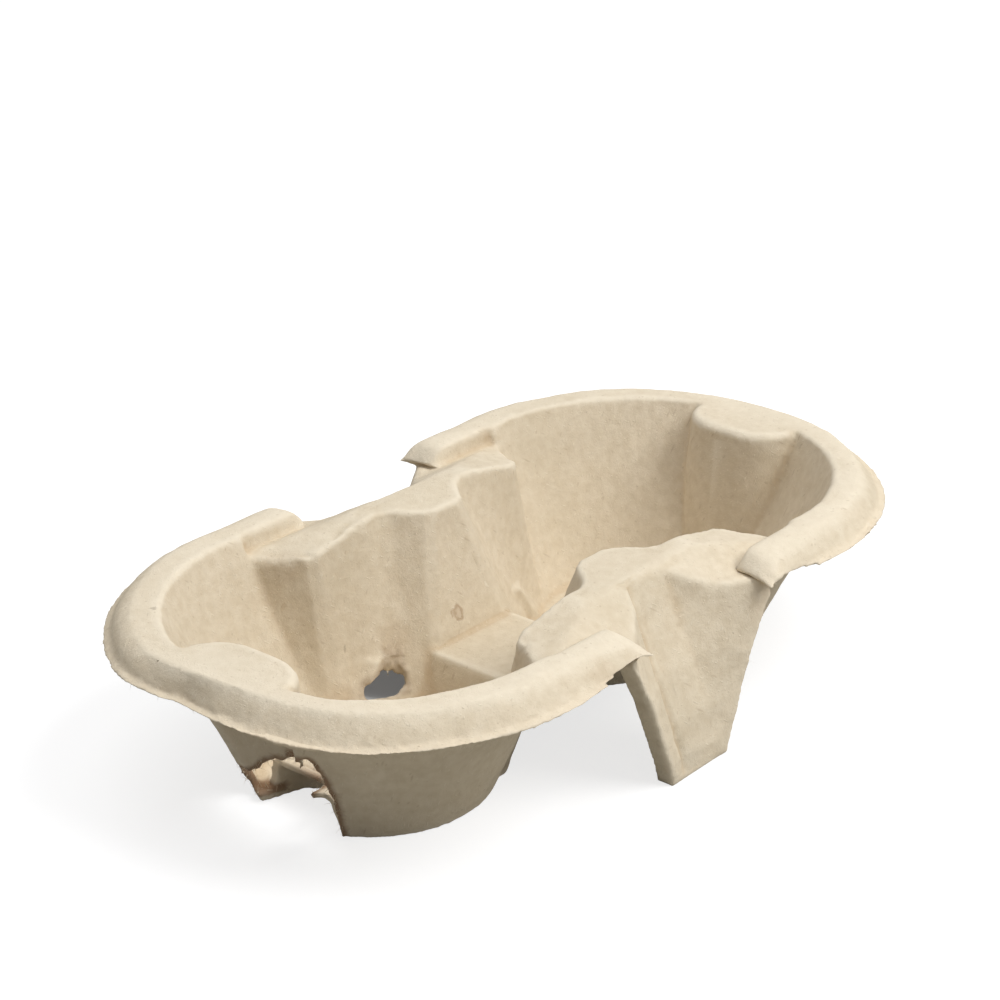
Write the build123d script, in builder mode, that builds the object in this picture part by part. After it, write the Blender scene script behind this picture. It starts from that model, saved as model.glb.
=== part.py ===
from build123d import *
import os
from math import sqrt

# A moulded paper pulp tray that carries two cups side by side. It is one sheet of
# pulp, about as thick everywhere, pressed over a mould: every wall leans, and every
# rib is hollow from below. All lengths are in millimetres. The tray stands on z = 0,
# its long side lies along X, and the origin is under its middle.

# Sheet and overall sizes
wall = 2.0  # thickness of the pulp
well_spacing = 104.0  # from one well's middle to the other's
rim_width = 11.8  # from the opening to the rim's free edge
rim_height = 46.0  # top of the rim above the table
skirt_drop = 6.0  # how far the rolled rim turns down
skirt_flare = 1.0  # how far the skirt leans out over that drop
rim_round = 3.2  # outside radius where the rim turns down
lip_width = 1.4  # small trimmed flange along the skirt's free edge
lip_thick = 1.6
# Steps round the rolled edge, as shares of its radius: down from the top, and inwards
roll_shares = [(1.0, 0.0), (0.5, 0.13), (0.13, 0.5), (0.0, 1.0)]

# Wells
opening_radius = 48.2  # inside of a well at the height of the rim
floor_radius = 27.4  # inside of a well at its floor
floor_ridge_height = 11.0  # hollow ridge from the end rib into the floor
floor_ridge_half_width = 9.5
floor_ridge_spread = 6.5  # it is wider by this on each side under the end rib
floor_ridge_reach = 9.0  # from the well's middle to the ridge's tip
floor_ridge_slant = 3.0  # how far the tip leans back over the ridge's height
floor_ridge_share = 0.8  # the ridge's width at the top, as a share of the foot's

# Rib at each end that holds the cup
rib_top_radius = 33.6  # from the well's middle to the rib's nose, at the top
rib_foot_radius = 28.4  # the same at the floor
end_rib_half_width = 15.0
end_rib_nose = 12.0  # rounding of the rib's nose
rib_spread = 2.5  # the rib is wider by this on each side where it meets the rim
rib_edge_bevel = 1.2

# Peaks between the wells, one on each side. A peak widens from its inner end to a
# ridge at either side, and the ridges hold the cups together with the end ribs.
peak_end_width = 11.5  # inner end of a peak, at the top
peak_end_reach = 22.8  # that end's distance from the tray's long axis
peak_foot_width = 34.0  # inner end of a peak, at the floor
peak_foot_reach = 10.5
apex_top_x = 13.5  # corner behind the inner end, at the top
apex_top_y = 32.0
apex_foot_x = 23.5  # the same corner at the floor
apex_foot_y = 15.1
groove_top_x = 27.0  # faint upright groove in the side that faces the cup
groove_top_y = 32.4
groove_foot_x = 32.6
groove_foot_y = 21.8
ridge_top_x = 38.5  # the ridge that touches the cup
ridge_top_y = 32.6
ridge_foot_x = 38.7
ridge_foot_y = 24.2
root_top_x = 46.6  # where the peak runs into the well's wall
root_top_y = 47.0
root_foot_x = 44.5
root_foot_y = 26.0
peak_corner_bevel = 1.8

# Valley between the top of a peak and the rim, open to the trough of the leg
plateau_half_length = 20.0  # the flat top of a peak, along X
plateau_reach = 38.0  # the flat top's outer edge, from the long axis
ridge_drop = 5.4  # how far a peak's top falls towards the well's wall
valley_drop = 5.6  # how far it falls towards the rim
valley_margin = 0.4  # the valley's outer wall lies this far outside the opening
shoulder_depth = 10.0  # how far down that wall reaches
waist_half_length = 32.0  # the open space between the peaks
waist_half_width = 37.0
lobe_corner_round = 2.2
saddle_height = 13.5  # low bridge between the wells
lobe_top_reach = 15.0  # each well widens to this far from the middle at the saddle
lobe_foot_reach = 19.5
lobe_half_width = 21.5

# Legs, one on each side, a shallow trough that opens outwards
trough_half_width = 6.0
trim_inset = 2.5  # the wings are trimmed this far inside the rim's free edge
leg_foot_inset = 3.0  # the trough's foot lies this far inside it
leg_return = 5.0  # depth of the flange turned in along a wing's side
# Shares up the leg's height, of the trough's depth there, and of its half width
leg_shares = [
    (0.0, 0.0, 0.38),
    (0.12, 0.015, 0.44),
    (0.3, 0.13, 0.56),
    (0.55, 0.38, 0.72),
    (0.8, 0.74, 0.94),
    (0.87, 0.82, 1.0),
    (1.0, 1.0, 1.0),
]
leg_top_half_width = 28.5
trough_top_reach = 38.5  # the trough's face at the top, from the long axis
arch_rise = 3.2  # how far the skirt's edge rises beside a leg
arch_start = 46.0  # it rises from here on, measured from the tray's middle
lip_start = 37.0  # the flange on its edge ends here

# Damage at one end, as the tray is
tear_width = 24.0  # gap torn in the foot of one end rib
tear_low = 2.6
tear_high = 19.5
tear_depth = 12.0  # how far it runs into the well, from the rib's hollow side
tear_middle = 3.0  # its middle, off the long axis
hole_width = 10.0  # hole torn in the foot of one peak
hole_height = 9.5
hole_middle = 9.0  # its middle, above the table
hole_share = 0.66  # how far along the peak's face it lies
# Torn outlines, as shares of width and height
tear_shares = [
    (0.5, 0.0), (0.5, 0.42), (0.16, 0.6), (0.02, 0.8), (-0.16, 0.93),
    (-0.36, 1.0), (-0.5, 0.72), (-0.38, 0.3), (-0.44, 0.0),
]
hole_shares = [
    (-0.5, -0.42), (-0.46, 0.1), (-0.36, 0.5), (-0.2, 0.36), (0.0, 0.22),
    (0.2, -0.02), (0.36, -0.12), (0.5, -0.34), (0.3, -0.5), (-0.1, -0.46),
]

overrun = 5.0  # how far a cut runs past what it cuts

# Sizes that follow from these
well_x = well_spacing / 2
rim_radius = opening_radius + rim_width  # from a well's middle to the free edge
trim_reach = rim_radius - trim_inset  # from the long axis to a wing's edge
leg_foot_reach = rim_radius - leg_foot_inset
skirt_edge = rim_height - skirt_drop
rim_end_x = leg_top_half_width - wall / 2  # the rim's straight sides end here
valley_reach = opening_radius + valley_margin
hollow_gap = wall * 1.1  # the leg leans, so its hollow is set back a little more
slope = (opening_radius - floor_radius) / (rim_height - wall)
wall_across = wall * sqrt(1 + slope**2)


def cone_radius(height):
    """Inside radius of a well at a height."""
    return floor_radius + slope * (height - wall)


def stadium_half(radius, end_x):
    """Plan of one rim end: a round end about the well and straight sides to end_x."""
    with BuildSketch(mode=Mode.PRIVATE) as plan:
        with Locations((well_x, 0)):
            Circle(radius)
        with Locations(((well_x + end_x) / 2, 0)):
            Rectangle(well_x - end_x, 2 * radius)
    return plan.sketch


def rim_end(inset, low, high, rolled):
    """One rim end as a solid block, leaning out towards its lower edge."""
    rings = [(low, 0)]
    if rolled:
        rings += [(high - rim_round * down, rim_round * cut) for down, cut in roll_shares]
    else:
        rings.append((high, 0))
    with BuildPart() as block:
        for height, cut in rings:
            lean = skirt_flare * (high - height) / skirt_drop
            radius = rim_radius - skirt_flare - inset + lean - cut
            with BuildSketch(Plane.XY.offset(height)):
                add(stadium_half(radius, rim_end_x + inset))
        loft(ruled=True)
    return block.part


def well_cone(extra):
    """A well as a solid cone, from the table up past the rim."""
    top = rim_height + overrun
    with BuildPart() as cone:
        with BuildSketch(Plane.XY):
            with Locations((well_x, 0)):
                Circle(cone_radius(0) + extra)
        with BuildSketch(Plane.XY.offset(top)):
            with Locations((well_x, 0)):
                Circle(cone_radius(top) + extra)
        loft()
    return cone.part


def tongue(nose_radius, half_width, nose_round, reach, spread, blunt=False):
    """Plan of a rib that points at the well's middle from the +X side."""
    with BuildSketch(mode=Mode.PRIVATE) as plan:
        wide = half_width + spread
        with BuildLine():
            Polyline(
                (nose_radius, -half_width), (nose_radius, half_width),
                (reach, wide), (reach, -wide), close=True,
            )
        make_face()
        tips = plan.vertices().group_by(Axis.X)[0]
        if blunt:
            chamfer(tips, nose_round)
        else:
            fillet(tips, nose_round)
    return plan.sketch


def end_rib(inset):
    """The end rib about the origin, grown or shrunk by inset on every side."""
    reach = rim_radius + overrun
    half_width = end_rib_half_width - inset
    rounding = end_rib_nose - inset
    with BuildPart() as body:
        with BuildSketch(Plane.XY.offset(-overrun if inset else 0)):
            foot = rib_foot_radius + inset
            add(tongue(foot, half_width, rounding, reach, rib_spread))
        with BuildSketch(Plane.XY.offset(rim_height - inset)):
            top = rib_top_radius + inset
            add(tongue(top, half_width, rounding, reach, rib_spread))
        loft()
        if not inset:
            land_edges = body.faces().sort_by(Axis.Z)[-1].edges()
            chamfer([e for e in land_edges if e.center().X < reach], rib_edge_bevel)
    return body.part


def floor_ridge(inset):
    """The hollow ridge that runs from the end rib into the well's floor."""
    reach = rib_foot_radius + overrun
    foot_half = floor_ridge_half_width - inset
    top_half = foot_half * floor_ridge_share
    with BuildPart() as body:
        with BuildSketch(Plane.XY.offset(-overrun if inset else 0)):
            foot_tip = floor_ridge_reach + inset
            bevel = foot_half / 2
            add(tongue(foot_tip, foot_half, bevel, reach, floor_ridge_spread, True))
        with BuildSketch(Plane.XY.offset(floor_ridge_height - inset)):
            tip = floor_ridge_reach + inset + floor_ridge_slant
            bevel = top_half / 2
            add(tongue(tip, top_half, bevel, reach, floor_ridge_spread, True))
        loft()
        if not inset:
            land_edges = body.faces().sort_by(Axis.Z)[-1].edges()
            chamfer([e for e in land_edges if e.center().X < reach], rib_edge_bevel)
    return body.part


def lobe(extra):
    """Space that widens the +X well towards the saddle, grown by extra."""
    with BuildPart() as body:
        for height, reach in ((0, lobe_foot_reach), (saddle_height, lobe_top_reach)):
            with BuildSketch(Plane.XY.offset(height)):
                with Locations(((reach - extra + well_x) / 2, 0)):
                    RectangleRounded(
                        well_x - reach + extra,
                        2 * (lobe_half_width + extra),
                        lobe_corner_round + extra,
                    )
        loft()
    return body.part


def ribs_of_well(inset):
    """The ribs of the +X well, in place."""
    with BuildPart() as group:
        with Locations((well_x, 0)):
            add(end_rib(inset))
            add(floor_ridge(inset))
    return group.part


def peak_plan(right):
    """Plan of a peak on the +Y side, from the corners of its +X half."""
    outer_y = rim_radius + 2 * overrun
    right = right + [(right[-1][0], outer_y)]
    left = [(-x, y) for x, y in reversed(right)]
    with BuildSketch(mode=Mode.PRIVATE) as plan:
        with BuildLine():
            Polyline(right + left, close=True)
        make_face()
    return plan.sketch


def peak_level(height, plan, inset):
    """One level of a peak, shrunk by inset, with its corners taken off."""
    with BuildSketch(Plane.XY.offset(height)) as level:
        add(plan)
        if inset:
            offset(amount=-inset, kind=Kind.INTERSECTION)
        far = level.vertices().sort_by(Axis.Y)[-1].Y
        near = [v for v in level.vertices() if v.Y < far - overrun]
        chamfer(near, peak_corner_bevel)
    return level.sketch


def peak(inset):
    """A peak on the +Y side, from the table to its top, shrunk by inset."""
    top = peak_plan([
        (peak_end_width / 2, peak_end_reach),
        (apex_top_x, apex_top_y),
        (groove_top_x, groove_top_y),
        (ridge_top_x, ridge_top_y),
        (root_top_x, root_top_y),
    ])
    foot = peak_plan([
        (peak_foot_width / 2, peak_foot_reach),
        (apex_foot_x, apex_foot_y),
        (groove_foot_x, groove_foot_y),
        (ridge_foot_x, ridge_foot_y),
        (root_foot_x, root_foot_y),
    ])
    with BuildPart() as body:
        add(peak_level(0, foot, inset))
        add(peak_level(rim_height - inset, top, inset))
        loft(ruled=True)
        if inset:
            add(valley(inset), mode=Mode.SUBTRACT)
    return body.part


def slab(plane, corners, half_depth):
    """A prism with the given corners, as deep on either side of its plane."""
    with BuildPart() as body:
        with BuildSketch(plane):
            with BuildLine():
                Polyline(corners, close=True)
            make_face()
        extrude(amount=half_depth, both=True)
    return body.part


def valley(inset):
    """Space over the falling top of a +Y peak, grown by inset for its underside."""
    top = rim_height - inset
    sky = rim_height + 2 * overrun
    end = root_top_x + inset
    side = valley_reach + inset
    fall = valley_drop / (valley_reach - plateau_reach)
    far = rim_radius + 2 * overrun
    low = top - fall * (side - plateau_reach)
    middle = (waist_half_width + far) / 2
    with BuildPart() as body:
        # towards the rim
        add(slab(
            Plane.YZ,
            [(plateau_reach, top), (side, low), (side, sky), (plateau_reach, sky)],
            end,
        ))
        # out into the trough
        add(slab(
            Plane.YZ,
            [(plateau_reach, top), (side, low), (far, low), (far, sky),
             (plateau_reach, sky)],
            rim_end_x + inset,
        ))
        # towards either well's wall, at both ends of the flat top
        for way in (-1, 1):
            corners = [
                (way * plateau_half_length, top), (way * end, top - ridge_drop),
                (way * end, sky), (way * plateau_half_length, sky),
            ]
            with BuildPart(mode=Mode.PRIVATE) as ramp:
                add(slab(Plane.XZ, corners, side))
                with Locations((0, -middle, 0)):
                    Box(4 * well_spacing, 2 * middle, 4 * sky, mode=Mode.SUBTRACT)
            add(ramp.part)
    return body.part


def leg_plan(half_width, trough_y, tip_y, widen):
    """Plan of a leg on the +Y side: two wings that flare out from a trough."""
    lean = (tip_y - trough_y) / (half_width - trough_half_width)
    side = (half_width + widen, tip_y + lean * widen)
    right = [(trough_half_width, trough_y), side, (side[0], apex_top_y)]
    left = [(-x, y) for x, y in reversed(right)]
    with BuildSketch(mode=Mode.PRIVATE) as plan:
        with BuildLine():
            Polyline(right + left, close=True)
        make_face()
    return plan.sketch


def leg(inset, widen, top):
    """A leg with the mass behind it, set back by inset and widened past its sides."""
    depth = leg_foot_reach - trough_top_reach
    with BuildPart() as body:
        for height_share, depth_share, width_share in leg_shares:
            with BuildSketch(Plane.XY.offset(top * height_share)):
                add(
                    leg_plan(
                        leg_top_half_width * width_share,
                        leg_foot_reach - depth * depth_share - inset,
                        trim_reach - inset,
                        widen,
                    )
                )
        loft(ruled=True)
    return body.part


def leg_hollow():
    """Space behind a leg: flanges stay along its sides, and the rest is open."""
    top = rim_height - wall
    with BuildPart() as body:
        add(leg(hollow_gap, -wall, top))
        add(leg(leg_return, overrun, top))
        add(valley(wall), mode=Mode.SUBTRACT)
    return body.part


def rim_hollow():
    """Space under the +X end of the rim."""
    with BuildPart() as body:
        add(rim_end(wall, skirt_edge, rim_height - wall, False))
        add(both_sides(valley(wall)), mode=Mode.SUBTRACT)
    return body.part


def arch():
    """Space under the +X end of the +Y skirt, where its edge rises to the leg."""
    inner = rim_end_x + wall
    low = skirt_edge - overrun
    corners = [
        (inner, low), (arch_start, low), (arch_start, skirt_edge),
        (inner, skirt_edge + arch_rise),
    ]
    with BuildPart() as body:
        with BuildSketch(Plane.XZ.offset(-(valley_reach + wall))):
            with BuildLine():
                Polyline(corners, close=True)
            make_face()
        extrude(amount=-(rim_radius + overrun - valley_reach))
    return body.part


def both_ends(part):
    """A solid of the +X end together with its mirror image."""
    with BuildPart() as pair:
        add(part)
        mirror(about=Plane.YZ)
    return pair.part


def both_sides(part):
    """A solid of the +Y side together with its mirror image."""
    with BuildPart() as pair:
        add(part)
        mirror(about=Plane.XZ)
    return pair.part


# Space inside the wells and between the peaks
with BuildPart() as cavity:
    add(both_ends(well_cone(0)))
    add(both_ends(lobe(0)))
    with BuildSketch(Plane.XY.offset(saddle_height)):
        Rectangle(2 * waist_half_length, 2 * waist_half_width)
    extrude(amount=rim_height + overrun - saddle_height)
    with BuildSketch(Plane.XY):
        Rectangle(4 * well_spacing, 4 * well_spacing)
    extrude(amount=wall, mode=Mode.SUBTRACT)
    add(both_ends(ribs_of_well(0)), mode=Mode.SUBTRACT)
    add(both_sides(peak(0)), mode=Mode.SUBTRACT)
    add(both_sides(valley(0)))

# Walls of the wells, of the ribs and of the peaks
with BuildPart() as walls:
    add(both_ends(well_cone(wall_across)))
    add(both_ends(lobe(wall)))
    with BuildSketch(Plane.XY.offset(saddle_height - wall)):
        Rectangle(2 * (waist_half_length + wall), 2 * waist_half_width)
    extrude(amount=rim_height + overrun - saddle_height)
    with BuildSketch(Plane.XY.offset(rim_height - shoulder_depth)):
        Rectangle(2 * root_top_x, 2 * (valley_reach + wall))
    extrude(amount=shoulder_depth)
    with BuildSketch(Plane.XY.offset(rim_height)):
        Rectangle(4 * well_spacing, 4 * well_spacing)
    extrude(amount=2 * overrun + wall, mode=Mode.SUBTRACT)
    add(both_ends(ribs_of_well(wall)), mode=Mode.SUBTRACT)
    add(both_sides(peak(wall)), mode=Mode.SUBTRACT)

# Small flange along the trimmed edge of the rim
with BuildPart() as lip:
    with BuildSketch(Plane.XY.offset(skirt_edge)):
        add(stadium_half(rim_radius + lip_width, lip_start))
        add(stadium_half(rim_radius - wall, lip_start - wall), mode=Mode.SUBTRACT)
    extrude(amount=lip_thick)

# The gap torn in one end rib, and the hole torn in one peak
with BuildPart() as tear:
    tear_height = tear_high - tear_low
    outline = [
        (tear_middle + tear_width * across, tear_low + tear_height * up)
        for across, up in tear_shares
    ]
    rib_back = well_x + rib_foot_radius + 2 * wall + overrun / 2
    with BuildSketch(Plane.YZ.offset(-rib_back)):
        with BuildLine():
            Polyline(outline, close=True)
        make_face()
    extrude(amount=tear_depth)

with BuildPart() as hole:
    face_x = groove_foot_x - peak_foot_width / 2
    face_y = groove_foot_y - peak_foot_reach
    face_plane = Plane(
        origin=(
            -(peak_foot_width / 2 + face_x * hole_share),
            peak_foot_reach + face_y * hole_share,
            hole_middle,
        ),
        x_dir=(-face_x, face_y, 0),
        z_dir=(face_y, face_x, 0),
    )
    with BuildSketch(face_plane):
        with BuildLine():
            Polyline(
                [(hole_width * u, hole_height * v) for u, v in hole_shares],
                close=True,
            )
        make_face()
    extrude(amount=overrun, both=True)

# The rolled rim and the legs, hollow from below
with BuildPart() as tray:
    add(both_ends(rim_end(0, skirt_edge, rim_height, True)))
    add(both_ends(lip.part))
    add(both_sides(leg(0, 0, rim_height)))
    add(both_ends(both_sides(arch())), mode=Mode.SUBTRACT)
    add(both_ends(rim_hollow()), mode=Mode.SUBTRACT)
    add(both_sides(leg_hollow()), mode=Mode.SUBTRACT)
    add(walls.part)
    add(cavity.part, mode=Mode.SUBTRACT)
    add(tear.part, mode=Mode.SUBTRACT)
    add(hole.part, mode=Mode.SUBTRACT)

os.makedirs("parts", exist_ok=True)
tray.part.label = "pulp_tray"
export_step(tray.part, "parts/pulp_tray.step")
print("solids", len(tray.part.solids()), "volume", round(tray.part.volume))
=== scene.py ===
# %% [markdown]
# # A moulded pulp cup tray
# The real tray is one sheet of wet paper pulp. A wire mould sucks it up, and it
# dries into a stiff, felt-like shell about two millimetres thick. The CAD model has
# that shell's whole shape, with crisp edges and smooth walls. Here it gets what the
# mould and the drying add: soft edges, uneven walls, rough trimmed lips, torn fibres
# and the colour of recycled paper.

import bmesh
import bpy
import numpy as np
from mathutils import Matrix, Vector


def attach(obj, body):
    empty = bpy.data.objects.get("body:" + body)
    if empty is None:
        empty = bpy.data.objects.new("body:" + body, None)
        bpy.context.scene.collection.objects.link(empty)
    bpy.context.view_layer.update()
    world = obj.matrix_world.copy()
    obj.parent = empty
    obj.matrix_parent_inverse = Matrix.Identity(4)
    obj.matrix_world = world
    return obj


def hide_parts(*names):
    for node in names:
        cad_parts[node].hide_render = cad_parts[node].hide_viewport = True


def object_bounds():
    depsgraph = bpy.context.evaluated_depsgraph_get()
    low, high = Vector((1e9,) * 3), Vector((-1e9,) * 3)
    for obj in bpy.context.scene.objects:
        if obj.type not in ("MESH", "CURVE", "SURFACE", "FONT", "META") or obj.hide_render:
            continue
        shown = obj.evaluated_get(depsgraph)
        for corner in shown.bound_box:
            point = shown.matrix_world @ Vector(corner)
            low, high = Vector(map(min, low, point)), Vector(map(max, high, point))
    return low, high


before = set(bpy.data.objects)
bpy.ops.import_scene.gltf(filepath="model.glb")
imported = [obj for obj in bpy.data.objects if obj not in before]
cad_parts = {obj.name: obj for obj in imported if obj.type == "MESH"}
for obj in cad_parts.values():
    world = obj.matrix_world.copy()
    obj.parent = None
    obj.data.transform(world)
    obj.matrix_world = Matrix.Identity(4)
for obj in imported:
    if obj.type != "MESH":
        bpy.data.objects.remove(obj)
cad_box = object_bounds()
mm = 0.001
print("CAD box, mm:", [[round(v / mm, 1) for v in corner] for corner in cad_box])

# %% [markdown]
# ## The sizes that the finish needs
# A few of the tray's own sizes say where its lips, ribs and tears are. They repeat
# the CAD model's values, in metres.

# %% Sizes
well_x = 52.0 * mm
rim_height = 46.0 * mm
trim_reach = 57.5 * mm
lip_start = 37.0 * mm
tear_x = (-87.0 * mm, -71.5 * mm)
tear_outline = np.array(
    [(15, 2.6), (15, 9.7), (6.8, 12.7), (3.5, 16.1), (-0.8, 18.3), (-5.6, 19.5),
     (-9, 14.8), (-6.1, 7.7), (-7.6, 2.6)]
) * mm
hole_middle = np.array([-27.3, 18.0, 9.0]) * mm
hole_across = np.array([-0.81, 0.587, 0.0])  # along the torn face, level
hole_out = np.array([0.587, 0.81, 0.0])  # square to it
hole_outline = np.array(
    [(-5, -4.0), (-4.6, 0.9), (-3.6, 4.7), (-2, 3.4), (0, 2.1), (2, -0.2),
     (3.6, -1.1), (5, -3.2), (3, -4.7), (-1, -4.4)]
) * mm
# What the breaks have beyond the CAD outlines, in millimetres: points on the end wall,
# and places along and up the peak's torn face
wider_tear = [
    (-85.6, -5, 21.5), (-88.2, -12, 24.8), (-88.8, -16, 25.5), (-86.4, -16.7, 20.5),
    (-85.2, -16.3, 17.5), (-83.3, -16.2, 14.7), (-80.3, -14.8, 7.6),
    (-77.5, -13.6, 0.8), (-76.5, -13.3, -2), (-82, -5, -2), (-85, -4, 10)
]
wider_hole = [
    (-0.4, 5.6), (-1.9, 5.2), (-3.1, 2.1), (-2.8, -1.1), (-2.3, -4.4), (6.6, -4.4),
    (6.2, -0.5), (2.9, 0.2), (0, 3)
]
# Coarse places: middle in millimetres, radius and depth
coarse_places = [
    ((-39, -35, 42), 7 * mm, 0.75 * mm),
    ((-45, 38, 41), 8 * mm, 0.5 * mm),
    ((-22, 33, 45), 9 * mm, 0.4 * mm),
    ((-22, 21, 13), 6 * mm, 0.6 * mm),
    ((-35, 27, 5), 7 * mm, 0.5 * mm),
    ((27, -57, 38), 8 * mm, 0.6 * mm),
    ((-27, -57, 40), 7 * mm, 0.5 * mm),
]
# Creases: start and end in millimetres, width and depth
creases = [
    ((-54, -54, 46.5), (-47, -58, 45.5), 0.7 * mm, 0.9 * mm),
    ((-43, 44, 40.5), (-38, 33, 42.5), 0.8 * mm, 0.6 * mm),
    ((8, -40, 45), (26, -37, 44.5), 0.8 * mm, 0.5 * mm),
    ((-30, 33, 44), (-12, 37, 46), 0.8 * mm, 0.5 * mm),
    ((-34, -57, 42), (-27, -55, 38), 0.9 * mm, 0.8 * mm),
]
# The fold down the front leg, as x and height in millimetres
leg_fold = [
    (-4.8, 46), (-7.9, 41), (-8.6, 32.8), (-10.6, 28.1), (-9.8, 22.2), (-8.8, 17.1),
    (-7.7, 11), (-6.2, 6), (-5.6, 2)
]
# The V trough at four heights, in millimetres: height, its root's place, half its width
trough_levels = [
    (35.0, 44.35, 25.8), (36.8, 43.31, 26.79), (40.0, 41.83, 28.5), (46.6, 38.2, 28.5)
]
trough_root = 6.0  # half the width of the V's root, in millimetres
print("outline points:", len(tear_outline), "and", len(hole_outline))

# %% [markdown]
# ## Open troughs and wider breaks
# On each long side a V-shaped trough runs down the leg. In the CAD model a web a few
# millimetres thick covers its upper end, while on the real tray the V is open right
# up to the flat top. A cutter with the V's outline at four heights opens it. Two more
# prisms widen the break in the end rib's foot and the hole in the back peak to the
# real outlines. The cut is made on a copy of the CAD mesh.


# %% Cut the troughs and breaks
def modified(obj, kind, **settings):
    """The object's mesh after one modifier, which is then taken off again."""
    modifier = obj.modifiers.new(kind.title(), kind)
    for name, value in settings.items():
        setattr(modifier, name, value)
    graph = bpy.context.evaluated_depsgraph_get()
    made = bpy.data.meshes.new_from_object(obj.evaluated_get(graph))
    obj.modifiers.remove(modifier)
    return made


def add_prism(made, rings):
    """Adds a closed prism: rings of points in millimetres, joined one to the next."""
    rings = [
        [made.verts.new([v * mm for v in point]) for point in ring] for ring in rings
    ]
    for low, high in zip(rings, rings[1:]):
        for i in range(len(low)):
            j = (i + 1) % len(low)
            made.faces.new((low[i], low[j], high[j], high[i]))
    made.faces.new(rings[0])
    made.faces.new(rings[-1])


def pushed(ring, direction, lengths):
    """The ring's points moved along a direction by each of the lengths."""
    return [np.array(ring) + length * np.array(direction) for length in lengths]


def trough_ring(side, height, root, half_width):
    """The V's outline at one height, from just outside its root to beyond the leg."""
    widest, outside, clear = 27.3, 62.0, 0.05
    edge = min(widest, half_width)
    share = (edge - trough_root) / (half_width - trough_root)
    wing = root + share * (trim_reach / mm - root)
    plan = [(trough_root, root + clear), (edge, wing + clear), (edge, outside)]
    plan = plan + [(-x, y) for x, y in reversed(plan)]
    return [(x, side * y, height) for x, y in plan]


def cutter_mesh():
    """A mesh of four prisms: one fills each trough, and two widen the breaks."""
    made = bmesh.new()
    for side in (-1, 1):
        add_prism(made, [trough_ring(side, *level) for level in trough_levels])
    add_prism(made, pushed(wider_tear, (0.61, 0.61, -0.5), (-4, 6)))
    hole = [
        hole_middle / mm + across * hole_across + (0, 0, up)
        for across, up in wider_hole
    ]
    add_prism(made, pushed(hole, (0.65, 0.6, -0.46), (-4, 5)))
    bmesh.ops.triangulate(made, faces=made.faces)
    bmesh.ops.recalc_face_normals(made, faces=made.faces)
    mesh = bpy.data.meshes.new("cutter")
    made.to_mesh(mesh)
    made.free()
    return mesh


tray_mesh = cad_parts["pulp_tray"].data.copy()
merging = bmesh.new()
merging.from_mesh(tray_mesh)
bmesh.ops.remove_doubles(merging, verts=merging.verts, dist=0.01 * mm)
merging.to_mesh(tray_mesh)
merging.free()
tray = bpy.data.objects.new("tray_shell", tray_mesh)
cutter = bpy.data.objects.new("cutter", cutter_mesh())
for made in (tray, cutter):
    bpy.context.scene.collection.objects.link(made)
tray.data = modified(
    tray, "BOOLEAN", operation="DIFFERENCE", solver="EXACT", object=cutter
)
bpy.data.meshes.remove(cutter.data)  # its object goes with it
print("faces after the cut:", len(tray.data.polygons))

# %% [markdown]
# ## An even skin of small faces
# The CAD mesh has long thin triangles, which can't bend. A voxel remesh wraps the
# shell in even little squares instead. Its corners come out a little stepped, so the
# points are then relaxed: each moves halfway to the mean of its neighbours, and then
# about as far away from their new mean, which rounds the edges without thinning the
# sheet.


# %% Remesh and relax
def mesh_arrays(mesh):
    """A mesh's points as an (n, 3) array and its edges as an (m, 2) array."""
    points = np.empty(len(mesh.vertices) * 3, np.float32)
    edges = np.empty(len(mesh.edges) * 2, np.int32)
    mesh.vertices.foreach_get("co", points)
    mesh.edges.foreach_get("vertices", edges)
    return points.reshape(-1, 3).astype(float), edges.reshape(-1, 2)


def move_points(mesh, points):
    """Puts a mesh's points where the (n, 3) array says."""
    mesh.vertices.foreach_set("co", points.astype(np.float32).ravel())
    mesh.update()


def neighbour_mean(values, edges, count):
    """For each point, the mean of the values at the points it shares an edge with."""
    a, b = edges[:, 0], edges[:, 1]
    degree = np.bincount(a, minlength=count) + np.bincount(b, minlength=count)
    columns = [
        np.bincount(a, v[b], count) + np.bincount(b, v[a], count)
        for v in np.atleast_2d(values.T)
    ]
    mean = np.array(columns) / np.maximum(degree, 1)
    return mean.T if values.ndim == 2 else mean[0]


def relaxed(points, edges, rounds, back=0.52):
    """Points after rounds of p += 0.5 (mean - p), then p -= back (mean - p)."""
    for step in range(rounds):
        for share in (0.5, -back):
            mean = neighbour_mean(points, edges, len(points))
            points = points + share * (mean - points)
    return points


voxel, most_triangles = 0.72 * mm, 192000
tray.data = modified(tray, "REMESH", mode="VOXEL", voxel_size=voxel)
points, edges = mesh_arrays(tray.data)
move_points(tray.data, relaxed(points, edges, 7))
full = len(tray.data.polygons) * 2
tray.data = modified(tray, "DECIMATE", ratio=min(1.0, most_triangles / full))
points, edges = mesh_arrays(tray.data)
thinned = len(tray.data.loops) - 2 * len(tray.data.polygons)
print("triangles:", full, "thinned to", thinned)

# %% [markdown]
# ## Where the wet sheet flows
# The CAD model keeps the rim's ends upright and its steps crisp. On the real tray the
# wet sheet flows there: the rim's ends slope down into the troughs, its outer band
# slopes out to a thin lip, its near end is pressed flat, and the steps between rim,
# valley and peak are softly rounded. Shifts give the first three, from ramps and short
# tables of a point's place. The last is a plain smoothing of the points in a mask.


# %% Slopes, a flat end and soft steps
def ramp(values, low, high):
    """0 below low, 1 above high, and smooth in between (low may be the larger)."""
    t = np.clip((values - low) / (high - low), 0, 1)
    return t * t * (3 - 2 * t)


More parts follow.
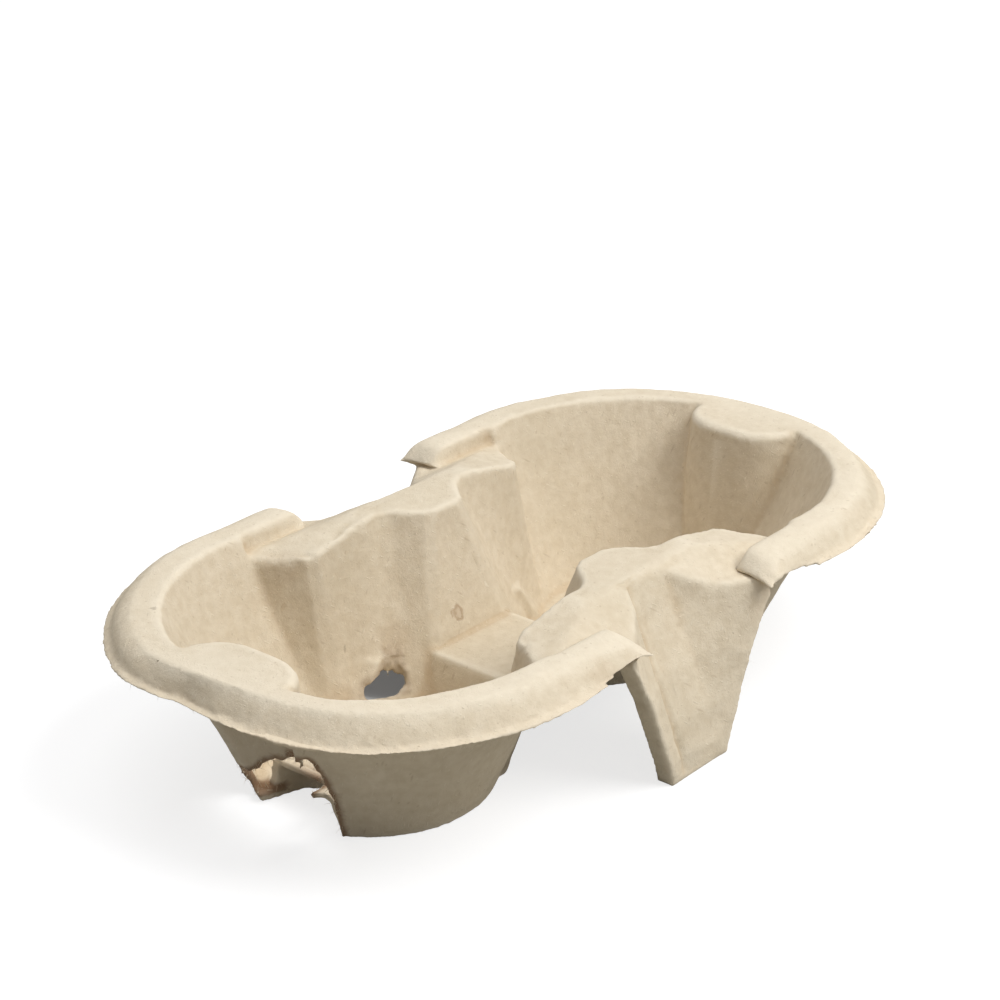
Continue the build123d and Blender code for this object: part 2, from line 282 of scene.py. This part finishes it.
along, side, up = np.abs(points[:, 0]), np.abs(points[:, 1]), points[:, 2]
end_weight = (
    ramp(along, 26.6 * mm, 27.4 * mm)
    * ramp(along, 36 * mm, 30 * mm)
    * ramp(side, 46.5 * mm, 48.5 * mm)
    * ramp(up, 39 * mm, 40.2 * mm)
)
end_slope = 6 * mm  # the rim's ends slope back by this much, over as much height
fallen = np.clip((rim_height - up) / end_slope, 0, 1)
points[:, 0] -= np.sign(points[:, 0]) * end_slope * end_weight * fallen

from_middle = np.hypot(np.maximum(along - well_x, 0), points[:, 1])
skirt_low, band_start, band_width, band_fall = 39.9 * mm, 54.5 * mm, 5.5 * mm, 0.88
crest = rim_height - band_fall * np.maximum(from_middle - band_start, 0)
crest = np.maximum(crest, skirt_low + 0.3 * mm)
steep = 0.65 * ramp(points[:, 1], 5 * mm, 30 * mm)
crest += steep * (rim_height - crest)
share = np.clip((up - skirt_low) / (rim_height - skirt_low), 0, 1)
points[:, 2] = np.where(up > skirt_low, skirt_low + share * (crest - skirt_low), up)

# The flat end: how far its top and its lip are pressed in, at each place across
flat_y = np.array([-40, -33.5, -30, -24, -18, -9, -1.4, 5.7, 9, 13.6, 21.4, 29]) * mm
flat_top = np.array([0, 0.5, 0.9, 2.1, 3.4, 3.9, 3.8, 3.0, 2.4, 1.0, 0, 0]) * mm
flat_lip = np.array([0, 0.6, 0.9, 1.6, 3.3, 4.8, 5.6, 5.9, 4.7, 3.3, 1, 0]) * mm
start = np.interp(side, [12 * mm, 28 * mm], [36 * mm, 49 * mm])
to_top = np.clip((from_middle - start) / (band_start - start), 0, 1)
to_lip = np.clip((from_middle - band_start) / band_width, 0, 1)
pressed = to_top * (1 - to_lip) * np.interp(points[:, 1], flat_y, flat_top)
pressed += to_lip * np.interp(points[:, 1], flat_y, flat_lip)
pressed *= (points[:, 0] < -well_x) * ramp(up, 30 * mm, 40 * mm)
points[:, 0] += pressed

soft = (
    ramp(along, 50 * mm, 45 * mm)
    * ramp(side, 34 * mm, 38 * mm)
    * ramp(up, 34 * mm, 38 * mm)
)[:, None]
for step in range(10):
    mean = neighbour_mean(points, edges, len(points))
    points = points + 0.5 * soft * (mean - points)
print("softened points:", int((soft > 0.5).sum()))

# %% [markdown]
# ## Lumps and warps from the mould
# Pulp settles unevenly, so no wall is quite flat. Smooth random noise of several
# sizes pushes each point along its normal: wide and shallow swells, then lumps a few
# millimetres wide. The noise is made from random numbers on a cubic lattice. A few
# places are coarser, as where the sheet was pulled off the mould. A few creases run
# over the rim and the peaks, and a long fold runs down the front leg.


# %% Noise on a lattice
def lattice_noise(points, cell, seed):
    """Random numbers from -1 to 1 at the corners of cubes of size cell, blended
    inside each cube with the weights 3t^2 - 2t^3 along each side."""
    size = 48  # the numbers repeat after this many cells
    table = np.random.default_rng(seed).uniform(-1, 1, (size, size, size))
    place = points / cell + 200.0
    base = np.floor(place).astype(int)
    share = place - base
    share = share * share * (3 - 2 * share)
    total = np.zeros(len(points))
    for corner in np.ndindex(2, 2, 2):
        x, y, z = ((base + corner) % size).T
        total += table[x, y, z] * np.prod(np.where(corner, share, 1 - share), axis=1)
    return total


def normals_of(mesh):
    """The mesh's point normals as an (n, 3) array."""
    normals = np.empty(len(mesh.vertices) * 3, np.float32)
    mesh.vertices.foreach_get("normal", normals)
    return normals.reshape(-1, 3).astype(float)


def from_segment(places, start, end):
    """Each place's distance from the line between two points, and the share of that
    line, from 0 to 1, at which its nearest point lies."""
    side = end - start
    share = np.clip((places - start) @ side / (side @ side), 0, 1)
    return np.linalg.norm(places - start - share[:, None] * side, axis=1), share


def from_line(places, corners):
    """Each place's distance from the nearest side of a line through the corners."""
    sides = zip(corners, corners[1:])
    return np.min([from_segment(places, *side)[0] for side in sides], axis=0)


move_points(tray.data, points)
normals = normals_of(tray.data)
lumps = (
    0.30 * lattice_noise(points, 21 * mm, 3)
    + 0.17 * lattice_noise(points, 8 * mm, 4)
    + 0.11 * lattice_noise(points, 3.4 * mm, 5)
    + 0.07 * lattice_noise(points, 1.6 * mm, 6)
) * mm
for middle, radius, depth in coarse_places:
    near = ramp(np.linalg.norm(points - np.array(middle) * mm, axis=1), radius, 0)
    coarse = lattice_noise(points, 2.6 * mm, 7)
    coarse += 0.6 * lattice_noise(points, 1.2 * mm, 8)
    lumps += depth * coarse * near
for start, end, width, depth in creases:
    apart, share = from_segment(points, np.array(start) * mm, np.array(end) * mm)
    lumps -= depth * np.exp(-((apart / width) ** 2)) * (0.6 + 0.4 * np.sin(9 * share))
fold_width, fold_depth = 1.1 * mm, 1.0 * mm
from_fold = from_line(points[:, ::2], np.array(leg_fold) * mm)
outside = (points[:, 1] < -36 * mm) & (normals[:, 1] < -0.2)
lumps -= fold_depth * np.exp(-((from_fold / fold_width) ** 2)) * outside
off_ground = ramp(points[:, 2], 0.4 * mm, 3 * mm)  # the feet stay nearly flat
points = points + normals * (lumps * (0.15 + 0.85 * off_ground))[:, None]
print("lumps, mm:", round(lumps.min() / mm, 2), "to", round(lumps.max() / mm, 2))

# %% [markdown]
# ## Trimmed lips and torn edges
# The rim and the legs' wings are trimmed after drying, which leaves a ragged little
# lip. One end rib and one peak are torn, and there the fibres pull out. Each point's
# distance from those edges gives a mask, and short rough noise moves the points that
# the mask marks. The masks are kept on the mesh for the colour.


# %% Distances and rough edges
def from_outline(places, outline, near):
    """Each 2-D place's distance from a closed outline, and a metre where not near."""
    return np.where(near, from_line(places, [*outline, outline[0]]), 1.0)


x, y, z = points.T
rim_lip = (
    ramp(from_middle, 58.4 * mm, 59.6 * mm)
    * ramp(z, 43 * mm, 42 * mm)
    * ramp(np.abs(x), lip_start - 3 * mm, lip_start + 2 * mm)
)
wing_lip = (
    ramp(np.abs(y), trim_reach - 2.4 * mm, trim_reach - 0.9 * mm)
    * ramp(np.abs(x), 31 * mm, 29.5 * mm)
    * ramp(z, 45 * mm, 42 * mm)
    * ramp(z, -1 * mm, 1.5 * mm)
)
trimmed = np.maximum(rim_lip, wing_lip)
at_tear = (x > tear_x[0]) & (x < tear_x[1])
at_wall = (x > -95 * mm) & (x < -74 * mm) & (y < 0)
from_break = np.minimum(
    from_outline(points[:, 1:], tear_outline, at_tear),
    from_outline(points[:, 1:], np.array(wider_tear)[:, 1:] * mm, at_wall),
)
offset = points - hole_middle
on_face = np.stack([offset @ hole_across, offset[:, 2]], axis=1)
at_hole = (np.abs(offset @ hole_out) < 6 * mm) & (np.abs(on_face[:, 0]) < 9 * mm)
from_hole = np.minimum(
    from_outline(on_face, hole_outline, at_hole),
    from_outline(on_face, np.array(wider_hole) * mm, at_hole),
)
at_break = ramp(from_break, 1.9 * mm, 0.5 * mm)
at_rim = ramp(from_hole, 1.7 * mm, 0.4 * mm)
torn = np.maximum(at_break, at_rim)
rough = np.stack(
    [
        lattice_noise(points, 0.9 * mm, seed)
        + 0.7 * lattice_noise(points, 2.3 * mm, seed + 1)
        for seed in (11, 21, 31)
    ],
    axis=1,
)
points = points + rough * (0.13 * trimmed + 0.34 * torn)[:, None] * mm
points[:, 2] = np.maximum(points[:, 2], 0)
move_points(tray.data, points)
print("torn points:", int((torn > 0.5).sum()), "trimmed:", int((trimmed > 0.5).sum()))

# %% [markdown]
# ## Ridges and hollows
# The colour is paler on the ridges, and the hollows are darkened as painted shade. How
# far a point stands out from its surroundings tells the two apart: averaging a copy of
# the points over and over gives the mean of a wide patch, and the offset from it along
# the normal is the measure.


# %% Masks for the colour
def keep_mask(mesh, name, values):
    """Stores one value per point under this name, for the material to read."""
    attribute = mesh.attributes.new(name, "FLOAT", "POINT")
    attribute.data.foreach_set("value", values.astype(np.float32))


normals = normals_of(tray.data)
patch = points
for step in range(24):
    patch = neighbour_mean(patch, edges, len(points))
standing = ((points - patch) * normals).sum(axis=1) / mm
keep_mask(tray.data, "ridge", ramp(standing, 0.15, 1.1))
# The hollows' mask: the material darkens these places as painted shade
keep_mask(tray.data, "hollow", ramp(standing, -0.15, -1.1))
# The breaks and, more faintly, the hole's rim: the material darkens them to brown as
# painted shade
keep_mask(tray.data, "torn", np.maximum(at_break, 0.35 * at_rim))
keep_mask(tray.data, "trimmed", trimmed)
tray.data.shade_smooth()
print("standing, mm:", np.round(np.percentile(standing, [2, 50, 98]), 2))

# %% [markdown]
# ## Pulled fibres
# Where the sheet is torn, paper fibres stand out of the break, and the trimmed lip
# has a short fuzz. Each fibre is a thin three-sided strand of six rings that bends
# and tapers. It starts from a marked point and stays inside the tray's box.


# %% Fibres
def fibre_strands(roots, outward, longest, girth, dice):
    """Corners and faces of one strand for each root, seeded by the dice."""
    count, rings, sides = len(roots), 6, 3
    aim = 0.7 * outward + dice.normal(0, 0.55, (count, 3))
    aim /= np.linalg.norm(aim, axis=1)[:, None]
    droop = dice.normal(0, 0.35, (count, 3)) - (0, 0, 0.25)
    reach = longest * dice.uniform(0.25, 1, count) ** 1.5
    share = np.linspace(0, 1, rings)[None, :, None]
    line = share * aim[:, None] + share**2 * droop[:, None]
    line = roots[:, None] + reach[:, None, None] * line
    across = np.cross(aim, dice.normal(0, 1, (count, 3)))
    across /= np.linalg.norm(across, axis=1)[:, None]
    beside = np.cross(aim, across)
    turns = np.linspace(0, 2 * np.pi, sides, endpoint=False)[:, None]
    spread = np.cos(turns) * across[:, None] + np.sin(turns) * beside[:, None]
    thick = girth * (1 - 0.75 * share) * dice.uniform(0.6, 1.3, (count, 1, 1))
    corners = line[:, :, None] + thick[..., None] * spread[:, None]
    base = np.arange(count)[:, None, None] * rings * sides
    base = base + np.arange(rings - 1)[None, :, None] * sides
    one = base + np.arange(sides)
    two = base + (np.arange(sides) + 1) % sides
    faces = np.stack([one, two, two + sides, one + sides], axis=-1)
    return corners.reshape(-1, 3), faces.reshape(-1, 4)


dice = np.random.default_rng(41)
all_corners, all_faces, used = [], [], 0
for mask, count, longest, girth in (
    (at_break, 260, 2.2 * mm, 0.06 * mm),
    (trimmed, 320, 1.0 * mm, 0.05 * mm),
):
    chosen = dice.choice(np.flatnonzero(mask > 0.6), count)
    corners, faces = fibre_strands(
        points[chosen], normals[chosen], longest, girth, dice
    )
    all_corners.append(corners)
    all_faces.append(faces + used)
    used += len(corners)
low, high = (np.array(list(corner)) for corner in cad_box)
corners = np.clip(np.concatenate(all_corners), low, high)
fibre_mesh = bpy.data.meshes.new("torn_fibres")
fibre_mesh.from_pydata(corners.tolist(), [], np.concatenate(all_faces).tolist())
fibres = bpy.data.objects.new("torn_fibres", fibre_mesh)
bpy.context.scene.collection.objects.link(fibres)
print("fibre faces:", len(fibre_mesh.polygons))

# %% [markdown]
# ## Building materials from nodes
# Each effect is a shader node group with named inputs and outputs. A few small helpers
# keep the wiring short. The first adds a node with its values, and most of the others
# use it to give the output socket of one kind of node.


# %% Node helpers
def add_node(tree, kind, values=None, **settings):
    """Adds a node. values maps an input's name or number to a value or a socket."""
    made = tree.nodes.new(kind)
    for name, value in settings.items():
        setattr(made, name, value)
    for key, value in (values or {}).items():
        if isinstance(value, bpy.types.NodeSocket):
            tree.links.new(value, made.inputs[key])
        else:
            made.inputs[key].default_value = value
    return made


def empty_tree(owner):
    """The emptied node tree of a material or a world."""
    owner.use_nodes = True
    owner.node_tree.nodes.clear()
    return owner.node_tree


def new_group(name, inputs, outputs):
    """A shader node group with these sockets, and its input and output nodes.
    inputs maps a name to (socket type, default); outputs maps a name to its type."""
    tree = bpy.data.node_groups.new(name, "ShaderNodeTree")
    for socket, (kind, default) in inputs.items():
        made = tree.interface.new_socket(socket, in_out="INPUT", socket_type=kind)
        if default is not None:
            made.default_value = default
    for socket, kind in outputs.items():
        tree.interface.new_socket(socket, in_out="OUTPUT", socket_type=kind)
    return tree, tree.nodes.new("NodeGroupInput"), tree.nodes.new("NodeGroupOutput")


def use_group(tree, group, values):
    """Places a group in a tree, with its inputs set or linked."""
    return add_node(tree, "ShaderNodeGroup", values, node_tree=group)


def maths(tree, operation, *values):
    """The result of a maths node on two values."""
    values = dict(enumerate(values))
    node = add_node(tree, "ShaderNodeMath", values, operation=operation)
    return node.outputs[0]


def vector_maths(tree, operation, *values):
    """The result of a vector maths node, a vector or, for DISTANCE, a number."""
    values = dict(enumerate(values))
    node = add_node(tree, "ShaderNodeVectorMath", values, operation=operation)
    return node.outputs["Value" if operation == "DISTANCE" else "Vector"]


def ranged(tree, value, *limits):
    """A value carried from one range to another: from low, from high, low and high."""
    values = {"Value": value, **dict(enumerate(limits, 1))}
    return add_node(tree, "ShaderNodeMapRange", values).outputs[0]


def noise(tree, place, scale, detail, **values):
    """A noise texture on a place, with this scale and detail."""
    values = {"Vector": place, "Scale": scale, "Detail": detail, **values}
    return add_node(tree, "ShaderNodeTexNoise", values)


def mixed(tree, factor, first, second):
    """A colour mix of first and second, by a factor that is a value or a socket."""
    values = {0: factor, 6: first, 7: second}
    node = add_node(tree, "ShaderNodeMix", values, data_type="RGBA", clamp_factor=True)
    return node.outputs[2]


def colour(red, green, blue):
    """A colour from sRGB values of 0 to 255, as the linear values that nodes use."""
    share = np.array([red, green, blue]) / 255
    linear = np.where(share <= 0.04045, share / 12.92, ((share + 0.055) / 1.055) ** 2.4)
    return (*linear.tolist(), 1.0)


# %% [markdown]
# ## Flecks and fibres
# Seen close, the pulp is full of short fibres and specks of the paper it came from.
# Cells of a Voronoi pattern, stretched along three different directions, give thin
# flecks that point every way. Only the middle of some cells is kept.


# %% Group: fibre flecks
flecks, given, result = new_group(
    "pulp flecks",
    {
        "Vector": ("NodeSocketVector", None),
        "Size": ("NodeSocketFloat", 2.0),
        "Share": ("NodeSocketFloat", 0.3),
    },
    {"Mask": "NodeSocketFloat"},
)
scaled = add_node(
    flecks,
    "ShaderNodeVectorMath",
    {
        0: given.outputs["Vector"],
        "Scale": maths(flecks, "DIVIDE", 1000.0, given.outputs["Size"]),
    },
    operation="SCALE",
)
last = None
for turn, stretch in (
    ((0.4, 0.9, 0.2), (1.0, 1.0, 0.16)),
    ((1.3, 0.2, 1.1), (0.16, 1.0, 1.0)),
    ((0.2, 1.9, 2.3), (1.0, 0.16, 1.0)),
):
    turned = add_node(
        flecks, "ShaderNodeMapping", {"Vector": scaled.outputs[0], "Rotation": turn}
    )
    drawn = vector_maths(flecks, "MULTIPLY", turned.outputs[0], stretch)
    cells = add_node(flecks, "ShaderNodeTexVoronoi", {"Vector": drawn, "Scale": 1.0})
    middle = ranged(flecks, cells.outputs["Distance"], 0.22, 0.08, 0.0, 1.0)
    chance = add_node(flecks, "ShaderNodeSeparateColor", {0: cells.outputs["Color"]})
    kept = maths(flecks, "LESS_THAN", chance.outputs[0], given.outputs["Share"])
    mask = maths(flecks, "MULTIPLY", middle, kept)
    last = mask if last is None else maths(flecks, "MAXIMUM", last, mask)
flecks.links.new(last, result.inputs["Mask"])
print("fleck group nodes:", len(flecks.nodes))

# %% [markdown]
# ## Clouds of tone
# The pulp's tone drifts from warm to grey over a few centimetres, and is mottled
# over a few millimetres. Two noises of different size give one each.

# %% Group: clouds
clouds, given, result = new_group(
    "pulp clouds",
    {
        "Vector": ("NodeSocketVector", None),
        "Wide": ("NodeSocketFloat", 30.0),
        "Fine": ("NodeSocketFloat", 300.0),
    },
    {"Drift": "NodeSocketFloat", "Mottle": "NodeSocketFloat"},
)
for socket, output, detail, low, high in (
    ("Wide", "Drift", 3.0, 0.34, 0.66),
    ("Fine", "Mottle", 5.0, 0.32, 0.68),
):
    cloud = noise(clouds, given.outputs["Vector"], given.outputs[socket], detail)
    spread = ranged(clouds, cloud.outputs[0], low, high, 0.0, 1.0)
    clouds.links.new(spread, result.inputs[output])
print("cloud group nodes:", len(clouds.nodes))

# %% [markdown]
# ## Spots
# A few specks, one ring-shaped spot and some wide faint stains show on the real tray,
# and one wide patch of painted shade darkens the outer wall under the rim at the torn end.
# The distance from a spot's centre gives a disc or, with an inner radius, a ring. The
# place that goes in is shaken by noise beforehand, once for all spots, so that none is
# quite round.

# %% Group: a spot
spot, given, result = new_group(
    "pulp spot",
    {
        "Vector": ("NodeSocketVector", None),
        "Centre": ("NodeSocketVector", (0.0, 0.0, 0.0)),
        "Outer": ("NodeSocketFloat", 0.002),
        "Inner": ("NodeSocketFloat", 0.0),
    },
    {"Mask": "NodeSocketFloat"},
)
place, centre = given.outputs["Vector"], given.outputs["Centre"]
outer, inner = given.outputs["Outer"], given.outputs["Inner"]
distance = vector_maths(spot, "DISTANCE", place, centre)
disc = ranged(spot, distance, outer, maths(spot, "MULTIPLY", outer, 0.6), 0.0, 1.0)
ring = ranged(spot, distance, maths(spot, "MULTIPLY", inner, 0.5), inner, 0.35, 1.0)
spot.links.new(maths(spot, "MULTIPLY", disc, ring), result.inputs["Mask"])
print("spot group nodes:", len(spot.nodes))

# %% [markdown]
# ## The pulp itself
# The material starts from a warm cream, drifts towards grey, gets flecks, painted shade
# in the hollows, paler ridges, torn edges darkened to brown as painted shade, and the
# spots, one of them a wide patch of painted shade. Its surface is matt, and a bump of
# fine noise and fibres makes it look like felt.

# %% Material: moulded pulp
# Stains and one patch of painted shade: middle, outer and inner radius in millimetres,
# colour and weight
stains_and_painted_shade = [
    ((-87.3, 34.9, 46), 1.0, 0.0, (92, 78, 62), 0.9),
    ((-4.3, 15.8, 19.7), 2.4, 1.7, (142, 104, 62), 0.6),
    ((7.9, 16.7, 23), 0.9, 0.0, (246, 240, 226), 0.9),
    ((-33.6, 26.2, 17.3), 0.8, 0.0, (110, 92, 70), 0.8),
    ((88.5, -43.7, 46), 0.9, 0.0, (120, 84, 52), 0.8),
    ((-21, 21.5, 17), 5.5, 0.0, (160, 122, 80), 0.4),
    ((-44, 37, 41), 7.0, 0.0, (158, 124, 84), 0.35),
    ((-36, 27, 4), 7.0, 0.0, (170, 130, 88), 0.35),
    ((27.5, -57, 33), 8.0, 0.0, (168, 134, 94), 0.35),
    ((-40, -60, 41), 6.0, 0.0, (170, 136, 98), 0.35),
    # Painted shade: the outer wall under the rim at the torn end is darkened
    ((-97, -8, 17), 23.0, 0.0, (122, 100, 74), 0.5),
]
pulp = bpy.data.materials.new("moulded_pulp")
tree = empty_tree(pulp)
place = add_node(tree, "ShaderNodeTexCoord").outputs["Object"]
masks = {
    name: add_node(tree, "ShaderNodeAttribute", attribute_name=name).outputs["Fac"]
    for name in ("ridge", "hollow", "torn", "trimmed")
}
tone = use_group(tree, clouds, {"Vector": place, "Wide": 24.0, "Fine": 420.0})
pale_flecks = use_group(tree, flecks, {"Vector": place, "Size": 0.9, "Share": 0.3})
dark_flecks = use_group(tree, flecks, {"Vector": place, "Size": 1.5, "Share": 0.12})


def weighted(mask, weight):
    """A mask times a plain weight."""
    return maths(tree, "MULTIPLY", mask, weight)


shade = mixed(tree, tone.outputs["Drift"], colour(210, 197, 173), colour(220, 207, 184))
for mask, weight, tint in (
    (tone.outputs["Mottle"], 0.42, (193, 176, 148)),
    # Painted shade: the hollows are darkened
    (masks["hollow"], 0.45, (184, 158, 122)),
    (masks["ridge"], 0.5, (231, 221, 201)),
    (pale_flecks.outputs[0], 0.25, (238, 230, 212)),
    (dark_flecks.outputs[0], 0.25, (148, 122, 90)),
    (masks["trimmed"], 0.4, (226, 212, 188)),
):
    shade = mixed(tree, weighted(mask, weight), shade, colour(*tint))
ripple = noise(tree, place, 420.0, 3.0).outputs["Color"]
centred = vector_maths(tree, "SUBTRACT", ripple, (0.5, 0.5, 0.5))
shaken = vector_maths(tree, "MULTIPLY_ADD", centred, (0.004, 0.004, 0.004), place)
for middle, outer, inner, tint, weight in stains_and_painted_shade:
    stain_and_shade_mark = use_group(
        tree,
        spot,
        {
            "Vector": shaken,
            "Centre": tuple(v * mm for v in middle),
            "Outer": outer * mm,
            "Inner": inner * mm,
        },
    )
    shade = mixed(tree, weighted(stain_and_shade_mark.outputs[0], weight), shade, colour(*tint))
# Painted shade: the torn edges are darkened to brown
shade = mixed(tree, weighted(masks["torn"], 0.8), shade, colour(118, 82, 50))
felt = noise(tree, place, 900.0, 6.0, Roughness=0.7)
pits = noise(tree, place, 260.0, 4.0)
height = maths(tree, "ADD", felt.outputs[0], pits.outputs[0])
height = maths(tree, "ADD", height, weighted(pale_flecks.outputs[0], 0.4))
bump = add_node(
    tree, "ShaderNodeBump", {"Strength": 0.55, "Distance": 0.35 * mm, "Height": height}
)
surface = add_node(
    tree,
    "ShaderNodeBsdfPrincipled",
    {
        "Base Color": shade,
        "Roughness": ranged(tree, tone.outputs["Mottle"], 0.0, 1.0, 0.86, 0.97),
        "Normal": bump.outputs[0],
        "Specular IOR Level": 0.25,
    },
)
add_node(tree, "ShaderNodeOutputMaterial", {"Surface": surface.outputs[0]})
for made in (tray, fibres):
    made.data.materials.clear()
    made.data.materials.append(pulp)
    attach(made, "root")
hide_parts("pulp_tray")
print("pulp material nodes:", len(tree.nodes))

# %% [markdown]
# ## Floor, light and camera
# The floor and the world look plain white to the camera, apart from a small patch of
# floor beside the back leg that is darkened as a painted shadow, which keeps the view
# through the hole dark. To the light's own rays the floor is a darker grey: little light
# bounces up, and the undersides stay dark. A large lamp high on the front right gives
# the soft main light, and the world fills in the rest.

# %% Floor
floor_mesh = bpy.data.meshes.new("floor")
floor_mesh.from_pydata(
    [(-4, -4, 0), (4, -4, 0), (4, 4, 0), (-4, 4, 0)], [], [(0, 1, 2, 3)]
)
floor = bpy.data.objects.new("floor", floor_mesh)
bpy.context.scene.collection.objects.link(floor)
floor.location.z = -0.05 * mm
white = bpy.data.materials.new("white_floor")
tree = empty_tree(white)


def seen_white(tree):
    """1 for the rays that should meet a white background, and 0 for the light's."""
    rays = add_node(tree, "ShaderNodeLightPath")
    seen = rays.outputs["Is Camera Ray"]
    for name in ("Is Glossy Ray", "Is Transmission Ray"):
        seen = maths(tree, "MAXIMUM", seen, rays.outputs[name])
    return seen


# A painted shadow: the floor's glow fades to near dark in a disc beside the back leg
shadow_patch_middle, shadow_patch_radius, white_radius = (-0.014, 0.03, 0.0), 10 * mm, 17 * mm
seen = seen_white(tree)
floor_place = add_node(tree, "ShaderNodeTexCoord").outputs["Object"]
from_shadow_patch = vector_maths(tree, "DISTANCE", floor_place, shadow_patch_middle)
glow = ranged(tree, from_shadow_patch, shadow_patch_radius, white_radius, 0.1, 0.74)
tint = mixed(tree, seen, (0.41, 0.4, 0.36, 1), (0.38, 0.38, 0.38, 1))
cover = add_node(tree, "ShaderNodeBsdfDiffuse", {"Color": tint})
shine = add_node(
    tree,
    "ShaderNodeEmission",
    {"Color": (1, 1, 1, 1), "Strength": maths(tree, "MULTIPLY", glow, seen)},
)
lit = add_node(tree, "ShaderNodeAddShader", {0: cover.outputs[0], 1: shine.outputs[0]})
add_node(tree, "ShaderNodeOutputMaterial", {"Surface": lit.outputs[0]})
floor_mesh.materials.append(white)

# %% Light
world = bpy.data.worlds.new("studio")
bpy.context.scene.world = world
tree = empty_tree(world)
sky = mixed(tree, seen_white(tree), (0.31, 0.31, 0.32, 1), (1, 1, 1, 1))
backdrop = add_node(tree, "ShaderNodeBackground", {"Color": sky, "Strength": 1.0})
add_node(tree, "ShaderNodeOutputWorld", {"Surface": backdrop.outputs[0]})


def lamp(name, place, aim, size, power):
    """A square area lamp at a place, turned towards the point that it lights."""
    data = bpy.data.lights.new(name, "AREA")
    data.size = size
    data.energy = power
    made = bpy.data.objects.new(name, data)
    made.location = place
    made.rotation_mode = "QUATERNION"
    made.rotation_quaternion = (Vector(aim) - Vector(place)).to_track_quat("-Z", "Y")
    bpy.context.scene.collection.objects.link(made)


lamp("main_light", (0.4, -1.0, 1.3), (0, 0, 0.02), 1.0, 22.5)
lamp("top_light", (-0.1, 0.3, 1.5), (0, 0, 0.02), 1.2, 8.5)

# %% Camera
camera_data = bpy.data.cameras.new("camera")
camera_data.lens = 91.76
camera_data.sensor_width = 36.0
camera_data.clip_start = 0.01
camera = bpy.data.objects.new("camera", camera_data)
camera.location = (-0.4348, -0.3627, 0.3009)
camera.rotation_mode = "QUATERNION"
aim = Vector((0.04018, 0.03929, 0.0291))
camera.rotation_quaternion = (aim - camera.location).to_track_quat("-Z", "Y")
bpy.context.scene.collection.objects.link(camera)
bpy.context.scene.camera = camera
bpy.context.scene.view_settings.view_transform = "Standard"
